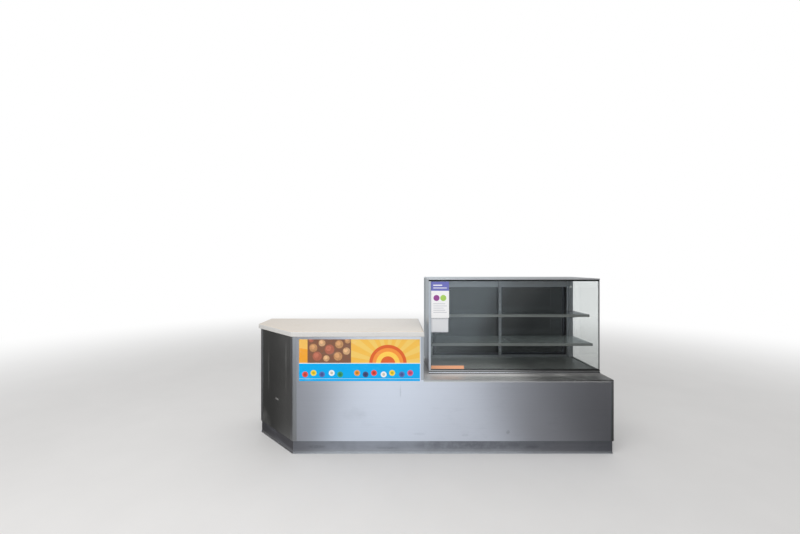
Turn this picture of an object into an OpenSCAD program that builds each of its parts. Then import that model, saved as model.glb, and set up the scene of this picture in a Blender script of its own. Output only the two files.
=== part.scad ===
// Shop serving counter: a steel-clad till end with a cut corner, and a glass display case on a lower deck.
// The customer's side faces -Y, the staff side is open and faces +Y, and the floor is at Z = 0.

/* [Counter] */
// Length of the body along the front
counter_l = 2850; // [2500:10:3600]
// Depth of the body, front to rear
counter_d = 680; // [660:10:900]
// Height of the till end below its worktop
carcass_h = 900; // [800:10:1000]
// Length of the cut corner along each side
cut_corner = 380; // [200:10:500]
// Length of the till end, from the left side to the step
till_l = 1388; // [1000:4:1600]
// Height of the deck that carries the display case
deck_h = 565; // [450:5:700]

/* [Boards and cladding] */
// Thickness of the carcass boards
board_t = 18; // [15:1:25]
// Thickness of the steel cladding on the outer faces
clad_t = 1.5; // [1:0.5:3]
// Thickness of the folded steel sheet on the deck
sheet_t = 2; // [1:0.5:4]
// Height of the deck sheet's turned-down front edge
lip_h = 10; // [6:1:30]
// Height of the plinth
plinth_h = 95; // [60:5:150]
// Set-back of the plinth behind the cladding
plinth_setback = 6; // [4:1:18]
// Set-back of the rear plinth behind the staff side
toe_setback = 50; // [20:5:120]
// Set-back of the shelf fronts on the staff side
shelf_setback = 30; // [10:5:100]
// Height of the shelf in the till end
till_shelf_h = 500; // [300:10:700]
// Height of the shelves under the deck
deck_shelf_h = 330; // [220:10:400]
// Height of the rail under the worktop on the staff side
rear_rail_h = 80; // [40:5:140]

/* [Edge trims] */
// Thickness of the angle trims
trim_t = 1.5; // [1:0.5:3]
// Leg of the angle trims on the cut corner
corner_leg = 32; // [15:1:50]
// Leg of the angle trims at the step and at the right end
edge_leg = 20; // [10:1:30]
// Height of the floor trim
floor_trim_h = 12; // [8:1:30]
// Foot of the floor trim, in front of the plinth
floor_trim_w = 10; // [6:1:20]
// Distance of the floor trim's joint from the left side
trim_joint_l = 1830; // [800:10:2300]
// Gap left at the floor trim's joint
trim_joint_gap = 2; // [1:0.5:6]

/* [Worktop] */
// Thickness of the worktop
worktop_t = 40; // [25:1:60]
// Overhang of the worktop at the front, the cut corner and the left side
overhang = 20; // [14:1:50]
// Overhang of the worktop over the step
step_overhang = 4; // [2:1:20]
// Radius of the worktop's upper edges
nose_r = 12; // [4:1:18]
// Radius of the worktop's lower edges
under_r = 5; // [2:1:6]

/* [Display case] */
// Depth of the open ledge in front of the case
ledge_d = 162; // [100:2:180]
// Gap between the step and the case
case_gap = 54; // [30:2:120]
// Set-back of the case from the counter's right side
case_inset = 14; // [0:1:60]
// Depth of the case
case_d = 480; // [420:10:490]
// Height of the case, from the deck to its top
case_h = 775; // [680:5:900]
// Height of the base frame
base_h = 32; // [28:1:40]
// Width of the base frame's front and side members
base_w = 24; // [20:1:40]
// Depth of the shadow grooves round the base frame
shadow_d = 4; // [2:1:8]
// Height of the gap under the base frame's face
foot_gap = 5; // [3:1:8]
// Height of the base frame's shadow groove
shadow_h = 8; // [4:1:10]
// Height of the shadow groove's lower edge above the deck
shadow_z = 14; // [10:1:14]
// Thickness of the case's floor
floor_t = 28; // [12:1:28]
// Thickness of the case's top
top_t = 10; // [8:1:30]
// Radius of the top's upper edges
top_r = 4; // [2:1:8]
// Thickness of the steel left end
end_t = 18; // [16:1:30]
// Thickness of the fixed glass
glass_t = 6; // [4:1:10]
// Cover of metal in front of the glass edges
glass_cover = 3; // [2:0.5:5]
// Depth of the glazing grooves in the base frame
groove_d = 6; // [4:1:6]
// Depth of the glazing grooves in the channel and the doors
side_groove_d = 8; // [4:1:12]
// Height of the black seal above the glass
seal_t = 12; // [4:1:16]
// Overhang of the seal past the glass
seal_lip = 1; // [0.5:0.5:2]

/* [Rear doors] */
// Width of the rear posts
post_w = 58; // [30:2:80]
// Thickness of the sliding doors
door_t = 10; // [8:1:16]
// Overlap of the two doors when both are shut
door_overlap = 50; // [20:5:100]
// Width of the door stiles
stile_w = 24; // [20:1:40]
// Height of the door rails
door_rail_h = 28; // [20:1:50]
// Thickness of the door panes
pane_t = 4; // [3:1:6]
// Thickness of the track's fins
fin_t = 2; // [1:0.5:4]
// Thickness of the tracks' webs
web_t = 3; // [2:0.5:6]
// Height of the bottom track's fins
fin_h = 12; // [8:1:18]
// Height of the top track
top_track_h = 84; // [40:1:100]
// Room to lift a door out of the bottom track
lift_room = 15; // [14:1:18]
// Running clearance round a door
run_gap = 5; // [5:0.5:8]
// Gap under the door's guide shoes
shoe_gap = 0.3; // [0.2:0.1:0.5]
// Length of the guide shoes
shoe_l = 36; // [20:2:60]
// Height of the finger slots in the doors
slot_h = 96; // [60:4:140]
// Width of the finger slots
slot_w = 12; // [8:1:14]
// Depth of the finger slots
slot_d = 2; // [1:0.5:2.5]

/* [Shelves in the case] */
// Number of the slot that carries the lower shelf
lower_slot = 4; // [3:1:5]
// Number of the slot that carries the upper shelf
upper_slot = 9; // [8:1:10]
// Depth of the lower shelf
lower_shelf_d = 335; // [240:5:350]
// Depth of the upper shelf
upper_shelf_d = 285; // [200:5:350]
// Thickness of the glass shelves
shelf_t = 8; // [6:1:12]
// Side clearance of the glass shelves
shelf_gap = 5; // [2:1:20]
// Height of the strip on a shelf's front edge
strip_h = 22; // [16:1:40]
// Wall of the strip on a shelf's front edge
strip_t = 2; // [1:0.5:3]
// Length of the strip's lips on the glass
strip_lip = 8; // [4:1:16]
// Width of the slotted uprights
upright_w = 24; // [18:1:30]
// Depth of the slotted uprights
upright_d = 12; // [8:1:20]
// Wall of the slotted uprights
upright_t = 1.5; // [1:0.5:3]
// Pitch of the uprights' slots
slot_pitch = 47; // [40:1:60]
// Height of one slot in the uprights
rack_slot_h = 14; // [8:1:20]
// Width of one slot in the uprights
rack_slot_w = 5; // [4:0.5:8]
// Thickness of the shelf brackets
bracket_t = 3; // [2:0.5:5]
// Rise of a shelf above the middle of its slot
bracket_rise = 4; // [3:0.5:6]
// Height of the plate left below a bracket's lower hook
bracket_foot = 2; // [1:0.5:10]
// Height of a bracket at its tip
bracket_tip = 12; // [8:1:20]
// Part of the shelf's depth that its brackets reach under
bracket_reach = 0.86; // [0.6:0.02:0.95]
// Length of the hooks behind the uprights' faces
hook_l = 4; // [3:0.5:6]
// Drop of the hooks below the slots' lower edges
hook_drop = 6; // [3:0.5:12]

/* [Hidden] */
$fn = 64;

// A cut that starts or ends in the open runs past the material by this much.
past = 1;
// Side clearance of glass in its groove, and of a hook behind its slot.
fit = 0.3;
// Bed of adhesive behind the corner trims.
glue_t = 0.1;
// Flats along the outer bend of a folded sheet or trim.
bend_steps = 6;
// Directions in which the left side and the front face, and the turn at each end of the cut corner.
left_faces = 180;
front_faces = 270;
corner_turn = (front_faces - left_faces) / 2;

// The body's sides. The origin is under the middle of the whole outline, overhang included.
left_x = -(counter_l - overhang) / 2;
right_x = left_x + counter_l;
front_y = -(counter_d - overhang) / 2;
rear_y = front_y + counter_d;
step_x = left_x + till_l;

// The body's outline in plan, from the left rear corner round the front to the right rear corner.
plan = [
    [left_x, rear_y],
    [left_x, front_y + cut_corner],
    [left_x + cut_corner, front_y],
    [right_x, front_y],
    [right_x, rear_y]
];
LEFT = 0;
CUT_CORNER = LEFT + 1;
FRONT = CUT_CORNER + 1;
RIGHT = FRONT + 1;
END = RIGHT + 1;

function way(side) = (plan[side + 1] - plan[side]) / norm(plan[side + 1] - plan[side]);
function inward(side) = [-way(side)[1], way(side)[0]];
// The corner before a side, moved inward by t on both sides that meet there.
function corner(side, t) =
    side == LEFT ? plan[LEFT] + t * inward(LEFT)
    : side == END ? plan[END] + t * inward(RIGHT)
    : plan[side] + t * (inward(side - 1) + inward(side)) / (1 + inward(side - 1) * inward(side));

// Inner face of the boards, measured inward from the cladding's face.
skin_t = clad_t + board_t;
inner_front_y = front_y + skin_t;
step_board_x = step_x - clad_t - board_t;
deck_under = deck_h - sheet_t;
bottom_top = plinth_h + board_t;
deck_bay_right = right_x - skin_t;
deck_bay_left = step_x - clad_t;
deck_divider_x = (deck_bay_left + deck_bay_right - board_t) / 2;
till_divider_x = (left_x + skin_t + step_board_x - board_t) / 2;

// The display case's outline.
case_x0 = step_x + case_gap;
case_x1 = right_x - case_inset;
case_y0 = front_y + ledge_d;
case_y1 = case_y0 + case_d;
case_z1 = deck_h + case_h;
frame_top = deck_h + base_h;
top_under = case_z1 - top_t;
glass_top = top_under - seal_t;
glass_y = case_y0 + glass_cover;
glass_x1 = case_x1 - glass_cover;
side_glass_x = glass_x1 - glass_t;
floor_top = deck_h + floor_t;

// The rear tracks hold one door in each of two channels.
channel_w = door_t + 2 * run_gap;
track_d = 2 * channel_w + 3 * fin_t;
track_y = case_y1 - track_d;
left_post_x = case_x0 + end_t;
right_post_x = side_glass_x - post_w;
way_x0 = left_post_x + post_w;
way_x1 = right_post_x;
way_w = way_x1 - way_x0;
door_w = (way_w - 2 * run_gap + door_overlap) / 2;
track_floor = frame_top + web_t;
door_z0 = track_floor + run_gap;
door_z1 = top_under - web_t - lift_room;
door_h = door_z1 - door_z0;
door_left_x = way_x0 + run_gap;
door_right_x = way_x1 - run_gap - door_w;
door_left_y = track_y + fin_t + run_gap;
door_right_y = door_left_y + channel_w + fin_t;

// Shelves and uprights.
upright_y = track_y - upright_d;
function slot_z(number) = floor_top + number * slot_pitch;
lower_shelf_z = slot_z(lower_slot) + bracket_rise;
upper_shelf_z = slot_z(upper_slot) + bracket_rise;
bracket_h = bracket_rise + slot_pitch + rack_slot_h / 2 + bracket_foot;
shelf_x0 = case_x0 + end_t + shelf_gap;
shelf_x1 = side_glass_x - shelf_gap;
upright_xs = [
    left_post_x + (post_w - upright_w) / 2,
    (way_x0 + way_x1 - upright_w) / 2,
    right_post_x + (post_w - upright_w) / 2
];

// A straight length of the body's wall, between two depths behind its outer face.
module wall(side, outer, inner, low, high)
    translate([0, 0, low])
        linear_extrude(high - low)
            polygon([
                corner(side, outer), corner(side + 1, outer),
                corner(side + 1, inner), corner(side, inner)
            ]);

// A box given by its lowest and highest corners.
module block(low, high)
    translate(low) cube(high - low);

// The outer bend of a folded sheet: an arc about its inner corner.
function bend(centre, r, start, end) =
    [for (i = [0:bend_steps]) let (a = start + (end - start) * i / bend_steps) centre + r * [cos(a), sin(a)]];

// The room above the deck, for cutting the walls down to it.
module above_deck(x)
    block([x, front_y - past, deck_under], [right_x + past, rear_y + past, carcass_h + past]);

// An angle trim on one of the body's corners, on its bed of adhesive.
module corner_angle(side, leg, low, high) {
    back = -glue_t;
    face = -glue_t - trim_t;
    before = plan[side] - leg * way(side - 1);
    after = plan[side] + leg * way(side);
    start = left_faces + corner_turn * (side - CUT_CORNER);
    translate([0, 0, low])
        linear_extrude(high - low)
            polygon(concat(
                [before + face * inward(side - 1)],
                bend(plan[side], -face, start, start + corner_turn),
                [
                    after + face * inward(side),
                    after + back * inward(side),
                    corner(side, back),
                    before + back * inward(side - 1)
                ]
            ));
}

// What a rounding plane takes off along the edge from a to b, with the material on the left.
module edge_cut(a, b, z, r, upper) {
    run = b - a;
    run_out = 2 * r + overhang;
    translate([a[0], a[1], z])
        rotate(atan2(run[1], run[0]))
            translate([-run_out, 0, 0])
                rotate([90, 0, 90])
                    linear_extrude(norm(run) + 2 * run_out)
                        mirror([0, upper ? 0 : 1])
                            difference() {
                                translate([-past, -r]) square([r + past, r + past]);
                                translate([r, -r]) circle(r);
                            }
}

module plinth(side)
    color("slategray")
        wall(side, plinth_setback, plinth_setback + board_t, 0, plinth_h);
module plinth_front() plinth(FRONT);
module plinth_cut_corner() plinth(CUT_CORNER);
module plinth_sides()
    difference() {
        for (side = [LEFT, RIGHT]) plinth(side);
        behind_toe();
    }
module plinth_rear()
    color("slategray")
        block([left_x + plinth_setback + board_t, rear_y - toe_setback - board_t, 0],
              [right_x - plinth_setback - board_t, rear_y - toe_setback, plinth_h]);
// The floor space behind the rear plinth, overhang included.
module behind_toe()
    block([left_x - overhang, rear_y - toe_setback, -past],
          [right_x + overhang, rear_y + past, plinth_h + past]);

// The floor trim is an angle: an upright leg on the plinth and a foot on the floor.
module floor_trim(side) {
    wall(side, plinth_setback - trim_t, plinth_setback, 0, floor_trim_h);
    wall(side, plinth_setback - floor_trim_w, plinth_setback - trim_t, 0, trim_t);
}
// The trim follows the customer's sides and ends flush with the plinth's right end.
module floor_trims()
    color("gainsboro")
        difference() {
            for (side = [LEFT:FRONT]) floor_trim(side);
            behind_toe();
            translate([left_x + trim_joint_l, front_y - overhang, -past])
                cube([trim_joint_gap, 2 * overhang + plinth_setback, floor_trim_h + 2 * past]);
            translate([right_x - plinth_setback, front_y - overhang, -past])
                cube([plinth_setback + overhang, 2 * overhang + plinth_setback, floor_trim_h + 2 * past]);
        }

module bottom_board()
    color("whitesmoke")
        translate([0, 0, plinth_h])
            linear_extrude(board_t)
                polygon([for (side = [LEFT:END]) corner(side, skin_t)]);
module front_board()
    color("whitesmoke")
        difference() {
            wall(FRONT, clad_t, skin_t, plinth_h, carcass_h);
            above_deck(step_x - clad_t);
        }
module cut_corner_board() color("whitesmoke") wall(CUT_CORNER, clad_t, skin_t, plinth_h, carcass_h);
module left_board() color("whitesmoke") wall(LEFT, clad_t, skin_t, plinth_h, carcass_h);
module right_board() color("whitesmoke") wall(RIGHT, clad_t, skin_t, plinth_h, deck_under);
module step_board()
    color("whitesmoke")
        block([step_board_x, inner_front_y, bottom_top], [step_x - clad_t, rear_y, carcass_h]);
module deck_board()
    color("whitesmoke")
        block([deck_bay_left, inner_front_y, deck_under - board_t], [deck_bay_right, rear_y, deck_under]);
module deck_divider()
    color("whitesmoke")
        block([deck_divider_x, inner_front_y, bottom_top],
              [deck_divider_x + board_t, rear_y, deck_under - board_t]);
// The divider is notched for the rail.
module till_divider()
    color("whitesmoke")
        difference() {
            block([till_divider_x, inner_front_y, bottom_top],
                  [till_divider_x + board_t, rear_y, carcass_h]);
            block([till_divider_x - past, rear_y - board_t, carcass_h - rear_rail_h],
                  [till_divider_x + board_t + past, rear_y + past, carcass_h + past]);
        }
module till_shelves()
    color("whitesmoke")
        translate([0, 0, till_shelf_h])
            linear_extrude(board_t)
                difference() {
                    polygon([
                        [left_x + skin_t, rear_y - shelf_setback],
                        corner(CUT_CORNER, skin_t),
                        corner(FRONT, skin_t),
                        [step_board_x, inner_front_y],
                        [step_board_x, rear_y - shelf_setback]
                    ]);
                    translate([till_divider_x, front_y]) square([board_t, counter_d]);
                }
module deck_shelves()
    color("whitesmoke")
        for (bay = [[deck_bay_left, deck_divider_x], [deck_divider_x + board_t, deck_bay_right]])
            block([bay[0], inner_front_y, deck_shelf_h],
                  [bay[1], rear_y - shelf_setback, deck_shelf_h + board_t]);
module till_rear_rail()
    color("whitesmoke")
        block([left_x + skin_t, rear_y - board_t, carcass_h - rear_rail_h],
              [step_board_x, rear_y, carcass_h]);

module front_cladding()
    color("lightsteelblue")
        difference() {
            wall(FRONT, 0, clad_t, plinth_h, carcass_h);
            above_deck(step_x);
        }
module cut_corner_cladding() color("dimgray") wall(CUT_CORNER, 0, clad_t, plinth_h, carcass_h);
module side_cladding()
    color("lightsteelblue") {
        wall(LEFT, 0, clad_t, plinth_h, carcass_h);
        wall(RIGHT, 0, clad_t, plinth_h, deck_under);
    }
module step_cladding()
    color("lightsteelblue")
        block([step_x - clad_t, front_y + clad_t, deck_under], [step_x, rear_y, carcass_h]);

// One folded sheet: the deck itself and its turned-down front edge.
module deck_sheet()
    color("silver")
        translate([step_x, 0, 0])
            rotate([90, 0, 90])
                linear_extrude(right_x - step_x)
                    polygon(concat(
                        [
                            [front_y - sheet_t, deck_h - lip_h],
                            [front_y, deck_h - lip_h],
                            [front_y, deck_under],
                            [rear_y, deck_under],
                            [rear_y, deck_h]
                        ],
                        bend([front_y, deck_under], sheet_t, 90, 180)
                    ));

module worktop() {
    outline = [
        corner(LEFT, -overhang),
        corner(CUT_CORNER, -overhang),
        corner(FRONT, -overhang),
        [step_x + step_overhang, front_y - overhang],
        [step_x + step_overhang, rear_y]
    ];
    color("antiquewhite")
        difference() {
            translate([0, 0, carcass_h]) linear_extrude(worktop_t) polygon(outline);
            for (i = [0:len(outline) - 2]) {
                edge_cut(outline[i], outline[i + 1], carcass_h + worktop_t, nose_r, true);
                edge_cut(outline[i], outline[i + 1], carcass_h, under_r, false);
            }
        }
}

module corner_trims()
    color("silver")
        for (side = [CUT_CORNER, FRONT]) corner_angle(side, corner_leg, plinth_h, carcass_h);
// An angle up the step's edge, and a flat strip at the front's right end.
module edge_trims()
    color("silver") {
        translate([step_x, front_y, deck_h])
            linear_extrude(carcass_h - deck_h)
                polygon(concat(
                    [[-edge_leg, -trim_t]],
                    bend([0, 0], trim_t, front_faces, 360),
                    [[trim_t, edge_leg], [0, edge_leg], [0, 0], [-edge_leg, 0]]
                ));
        block([right_x - edge_leg, front_y - trim_t, plinth_h], [right_x, front_y, deck_h - lip_h]);
    }

// What a groove of the given depth takes off all round the case's outline, between two heights.
module round_groove(low, high)
    difference() {
        block([case_x0 - past, case_y0 - past, low], [case_x1 + past, case_y1 + past, high]);
        block([case_x0 + shadow_d, case_y0 + shadow_d, low - past],
              [case_x1 - shadow_d, case_y1 - shadow_d, high + past]);
    }

// The base frame is one welded ring. Its face has a shadow groove above a recessed foot, and its
// front and right members have glazing grooves on top.
module case_base_frame()
    color("gainsboro")
        difference() {
            block([case_x0, case_y0, deck_h], [case_x1, case_y1, frame_top]);
            block([case_x0 + base_w, case_y0 + base_w, deck_h - past],
                  [case_x1 - base_w, track_y, frame_top + past]);
            round_groove(deck_h - past, deck_h + foot_gap);
            round_groove(deck_h + shadow_z, deck_h + shadow_z + shadow_h);
            block([case_x0 + end_t - side_groove_d, glass_y - fit, frame_top - groove_d],
                  [glass_x1 + fit, glass_y + glass_t + fit, frame_top + past]);
            block([side_glass_x - fit, glass_y - fit, frame_top - groove_d],
                  [glass_x1 + fit, case_y1 - glass_cover + fit, frame_top + past]);
        }
module case_floor()
    color("silver")
        block([case_x0 + base_w + fit, case_y0 + base_w + fit, deck_h],
              [case_x1 - base_w - fit, track_y - fit, floor_top]);
module case_left_end()
    color("gray")
        block([case_x0, case_y0 + 2 * glass_cover + glass_t, frame_top], [left_post_x, case_y1, top_under]);
// The channel takes the left edge of the front glass.
module case_front_channel()
    color("gainsboro")
        translate([case_x0, case_y0, frame_top])
            linear_extrude(glass_top - frame_top)
                difference() {
                    square([end_t, 2 * glass_cover + glass_t]);
                    translate([end_t - side_groove_d, glass_cover - fit])
                        square([side_groove_d + past, glass_t + 2 * fit]);
                }
module case_front_glass()
    color("lightcyan", 0.4)
        block([case_x0 + end_t - side_groove_d + fit, glass_y, frame_top - groove_d],
              [glass_x1, glass_y + glass_t, glass_top]);
module case_right_glass()
    color("lightcyan", 0.4)
        block([side_glass_x, glass_y + glass_t, frame_top - groove_d],
              [glass_x1, case_y1 - glass_cover, glass_top]);
// The seal lies on the channel and on both panes, under the top.
module case_top_seal() {
    seal_front = glass_y - seal_lip;
    seal_back = glass_y + glass_t + seal_lip;
    color("black")
        translate([0, 0, glass_top])
            linear_extrude(seal_t)
                polygon([
                    [case_x0, seal_front],
                    [glass_x1 + seal_lip, seal_front],
                    [glass_x1 + seal_lip, case_y1 - glass_cover],
                    [side_glass_x, case_y1 - glass_cover],
                    [side_glass_x, seal_back],
                    [case_x0, seal_back]
                ]);
}
module case_top() {
    outline = [[case_x0, case_y1], [case_x0, case_y0], [case_x1, case_y0], [case_x1, case_y1]];
    color("silver")
        difference() {
            translate([0, 0, top_under]) linear_extrude(top_t) polygon(outline);
            for (i = [0:len(outline) - 1])
                edge_cut(outline[i], outline[(i + 1) % len(outline)], case_z1, top_r, true);
        }
}

module rear_posts()
    color("silver")
        for (x = [left_post_x, right_post_x])
            block([x, track_y, frame_top], [x + post_w, case_y1, top_under]);

// A track's section is a web with three fins, which leave a channel for each door.
module track(depth) {
    square([track_d, web_t]);
    for (i = [0:2])
        translate([i * (channel_w + fin_t), web_t - past]) square([fin_t, depth - web_t + past]);
}
module rear_bottom_track()
    color("gainsboro")
        translate([way_x0, track_y, frame_top])
            rotate([90, 0, 90]) linear_extrude(way_w) track(web_t + fin_h);
module rear_top_track()
    color("gainsboro")
        translate([way_x0, track_y, top_under])
            rotate([90, 0, 90]) linear_extrude(way_w) mirror([0, 1]) track(top_track_h);

// A door frame, drawn from its lower left front corner, with a groove for its pane and a finger slot.
module door_frame(slot_x)
    color("darkgray") {
        difference() {
            cube([door_w, door_t, door_h]);
            translate([stile_w, -past, door_rail_h])
                cube([door_w - 2 * stile_w, door_t + 2 * past, door_h - 2 * door_rail_h]);
            translate([stile_w - side_groove_d, (door_t - pane_t) / 2 - fit, door_rail_h - side_groove_d])
                cube([door_w - 2 * (stile_w - side_groove_d), pane_t + 2 * fit,
                      door_h - 2 * (door_rail_h - side_groove_d)]);
            translate([slot_x + slot_w / 2, door_t + past, door_h / 2])
                rotate([90, 0, 0])
                    linear_extrude(slot_d + past) {
                        square([slot_w, slot_h - slot_w], center = true);
                        for (end = [-1, 1])
                            translate([0, end * (slot_h - slot_w) / 2]) circle(d = slot_w);
                    }
        }
        for (x = [stile_w, door_w - stile_w - shoe_l])
            translate([x, 0, shoe_gap - run_gap]) cube([shoe_l, door_t, run_gap - shoe_gap + past]);
    }
module door_pane()
    color("darkslategray", 0.5)
        translate([stile_w - side_groove_d + fit, (door_t - pane_t) / 2, door_rail_h - side_groove_d])
            cube([door_w - 2 * (stile_w - side_groove_d + fit), pane_t,
                  door_h - 2 * (door_rail_h - side_groove_d) - fit]);
module door_left_frame()
    translate([door_left_x, door_left_y, door_z0]) door_frame((stile_w - side_groove_d - slot_w) / 2);
module door_left_pane() translate([door_left_x, door_left_y, door_z0]) door_pane();
module door_right_frame()
    translate([door_right_x, door_right_y, door_z0])
        door_frame(door_w - (stile_w - side_groove_d + slot_w) / 2);
module door_right_pane() translate([door_right_x, door_right_y, door_z0]) door_pane();

// Slotted channels, open to the rear, that stand on the case's floor.
module shelf_uprights() {
    slots = floor((top_under - floor_top - slot_pitch) / slot_pitch);
    color("gainsboro")
        for (x = upright_xs)
            difference() {
                block([x, upright_y, floor_top], [x + upright_w, track_y, top_under]);
                block([x + upright_t, upright_y + upright_t, floor_top - past],
                      [x + upright_w - upright_t, track_y + past, top_under + past]);
                for (number = [1:slots])
                    translate([x + (upright_w - rack_slot_w) / 2, upright_y - past,
                               slot_z(number) - rack_slot_h / 2])
                        cube([rack_slot_w, upright_t + 2 * past, rack_slot_h]);
            }
}
// A tapered plate that reaches forward under a shelf. Its two hooks pass through neighbouring slots,
// stand on their lower edges and drop behind the upright's face.
module bracket(reach) {
    polygon([[0, -bracket_h], [0, 0], [-reach, 0], [-reach, -bracket_tip]]);
    for (middle = [-bracket_rise, -bracket_rise - slot_pitch]) {
        translate([-past, middle - rack_slot_h / 2])
            square([past + upright_t + fit + hook_l, rack_slot_h / 2 + bracket_rise - fit]);
        translate([upright_t + fit, middle - rack_slot_h / 2 - hook_drop])
            square([hook_l, rack_slot_h / 2 + hook_drop]);
    }
}
module shelf_brackets()
    color("silver")
        for (x = upright_xs, shelf = [[lower_shelf_z, lower_shelf_d], [upper_shelf_z, upper_shelf_d]])
            translate([x + (upright_w - bracket_t) / 2, upright_y, shelf[0]])
                rotate([90, 0, 90])
                    linear_extrude(bracket_t) bracket(bracket_reach * shelf[1]);

module glass_shelf(z, depth)
    color("lightcyan", 0.4)
        block([shelf_x0, upright_y - depth, z], [shelf_x1, upright_y - fit, z + shelf_t]);
module lower_shelf() glass_shelf(lower_shelf_z, lower_shelf_d);
module upper_shelf() glass_shelf(upper_shelf_z, upper_shelf_d);

// A strip clips over each shelf's front edge: two lips on the glass and a taller face.
module shelf_strips()
    color("whitesmoke")
        for (shelf = [[lower_shelf_z, lower_shelf_d], [upper_shelf_z, upper_shelf_d]])
            translate([shelf_x0, upright_y - shelf[1], shelf[0]])
                rotate([90, 0, 90])
                    linear_extrude(shelf_x1 - shelf_x0)
                        polygon([
                            [-strip_t, shelf_t + strip_t - strip_h],
                            [0, shelf_t + strip_t - strip_h],
                            [0, -strip_t], [strip_lip, -strip_t], [strip_lip, 0], [0, 0],
                            [0, shelf_t], [strip_lip, shelf_t],
                            [strip_lip, shelf_t + strip_t], [-strip_t, shelf_t + strip_t]
                        ]);

plinth_front();
plinth_cut_corner();
plinth_sides();
plinth_rear();
floor_trims();
bottom_board();
front_board();
cut_corner_board();
left_board();
right_board();
step_board();
deck_board();
deck_divider();
deck_shelves();
till_divider();
till_shelves();
till_rear_rail();
front_cladding();
cut_corner_cladding();
side_cladding();
step_cladding();
deck_sheet();
worktop();
corner_trims();
edge_trims();
case_base_frame();
case_floor();
case_left_end();
case_front_channel();
case_front_glass();
case_right_glass();
case_top_seal();
case_top();
rear_posts();
rear_bottom_track();
rear_top_track();
door_left_frame();
door_left_pane();
door_right_frame();
door_right_pane();
shelf_uprights();
shelf_brackets();
lower_shelf();
upper_shelf();
shelf_strips();
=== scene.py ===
import math

import bmesh
import bpy
from bpy.props import FloatProperty, FloatVectorProperty, PointerProperty
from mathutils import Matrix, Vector


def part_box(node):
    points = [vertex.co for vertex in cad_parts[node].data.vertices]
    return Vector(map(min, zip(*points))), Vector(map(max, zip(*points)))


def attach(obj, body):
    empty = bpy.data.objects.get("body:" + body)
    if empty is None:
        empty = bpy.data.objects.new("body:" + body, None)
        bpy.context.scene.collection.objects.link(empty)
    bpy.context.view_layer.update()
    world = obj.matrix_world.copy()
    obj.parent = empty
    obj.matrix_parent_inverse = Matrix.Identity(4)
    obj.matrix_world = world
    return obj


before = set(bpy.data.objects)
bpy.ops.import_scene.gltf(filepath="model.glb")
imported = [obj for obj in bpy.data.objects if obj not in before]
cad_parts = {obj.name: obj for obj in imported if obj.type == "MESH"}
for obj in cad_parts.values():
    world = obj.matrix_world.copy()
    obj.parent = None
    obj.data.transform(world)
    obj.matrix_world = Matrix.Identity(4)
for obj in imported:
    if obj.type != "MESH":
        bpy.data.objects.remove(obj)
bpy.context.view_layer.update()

bl_info = {
    "name": "Shop Counter Dressing",
    "version": (1, 0, 0),
    "blender": (4, 5, 0),
    "location": "3D View > Sidebar > Counter",
    "description": "Finishes, prints, fittings and a stage for a shop counter with a glass case",
    "category": "Object",
}


def lowest(node):
    """The lowest corner of a node of the frame."""
    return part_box(node)[0]


def highest(node):
    """The highest corner of a node of the frame."""
    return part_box(node)[1]


# Places on the counter that the pieces are set against.
PANEL_Y = lowest("front_cladding").y
PANEL_TOP = highest("front_cladding").z
LEFT_X = lowest("side_cladding").x
STEP_X = highest("step_cladding").x
REAR_Y = highest("side_cladding").y
GLASS_Y = lowest("case_front_glass").y
GLASS_LEFT = highest("case_front_channel").x
GLASS_RIGHT = highest("case_front_glass").x
GLASS_BOTTOM = highest("case_base_frame").z
GLASS_TOP = highest("case_front_glass").z


def colour(name, description, default):
    """A colour that the user may change."""
    return FloatVectorProperty(name=name, description=description, default=default,
                               subtype="COLOR", size=3, min=0.0, max=1.0)


def length(name, description, default):
    """A length in metres that the user may change."""
    return FloatProperty(name=name, description=description, default=default,
                         subtype="DISTANCE", unit="LENGTH", min=0.0)


def share(name, description, default):
    """A part of one that the user may change."""
    return FloatProperty(name=name, description=description, default=default,
                         subtype="FACTOR", min=0.0, max=1.0)


class CounterMetal(bpy.types.PropertyGroup):
    """Colours and finish of the metal."""

    steel: colour("Steel", "Brushed steel of the cladding", (0.88, 0.855, 0.90))
    case: colour("Cabinet steel", "Brushed steel of the glass cabinet", (0.54, 0.53, 0.52))
    # The corner steel is a darker copy of the cladding steel: painted shade.
    shaded: colour("Corner steel", "Brushed steel of the cut corner", (0.69, 0.68, 0.66))
    top: colour("Cabinet top", "Satin steel of the cabinet's top", (0.78, 0.77, 0.77))
    deck: colour("Deck steel", "Worn steel of the deck", (0.92, 0.90, 0.88))
    tray: colour("Cabinet floor", "Steel floor of the cabinet", (0.75, 0.75, 0.73))
    plinth: colour("Plinth", "Scuffed steel of the plinth", (0.475, 0.46, 0.49))
    aluminium: colour("Aluminium", "Anodised tracks and uprights", (0.42, 0.42, 0.43))
    door: colour("Door frames", "Dark anodised frames of the doors", (0.10, 0.10, 0.11))
    trim: colour("Trim", "Light trims of the corners and the floor", (0.80, 0.79, 0.80))
    channel: colour("Channel", "Glazing channel of the front glass", (0.64, 0.63, 0.64))
    roughness: share("Roughness", "Roughness of the brushed steel", 0.42)
    anisotropy: share("Anisotropy", "How far the brushing spreads a reflection", 0.8)


class CounterBoards(bpy.types.PropertyGroup):
    """Colours of the boards, the worktop and the plastics."""

    worktop: colour("Worktop", "Cream laminate", (0.80, 0.69, 0.575))
    worktop_edge: colour("Worktop edge", "Rounded edge of the worktop", (0.66, 0.65, 0.63))
    board: colour("Board", "White faced board", (0.78, 0.77, 0.74))
    board_edge: colour("Board edge", "Edging of the boards on the staff side", (0.70, 0.68, 0.63))
    rubber: colour("Seal", "Black rubber seal", (0.014, 0.014, 0.014))
    strip: colour("Shelf strip", "Smoked plastic of the shelf strips", (0.16, 0.165, 0.16))


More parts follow.
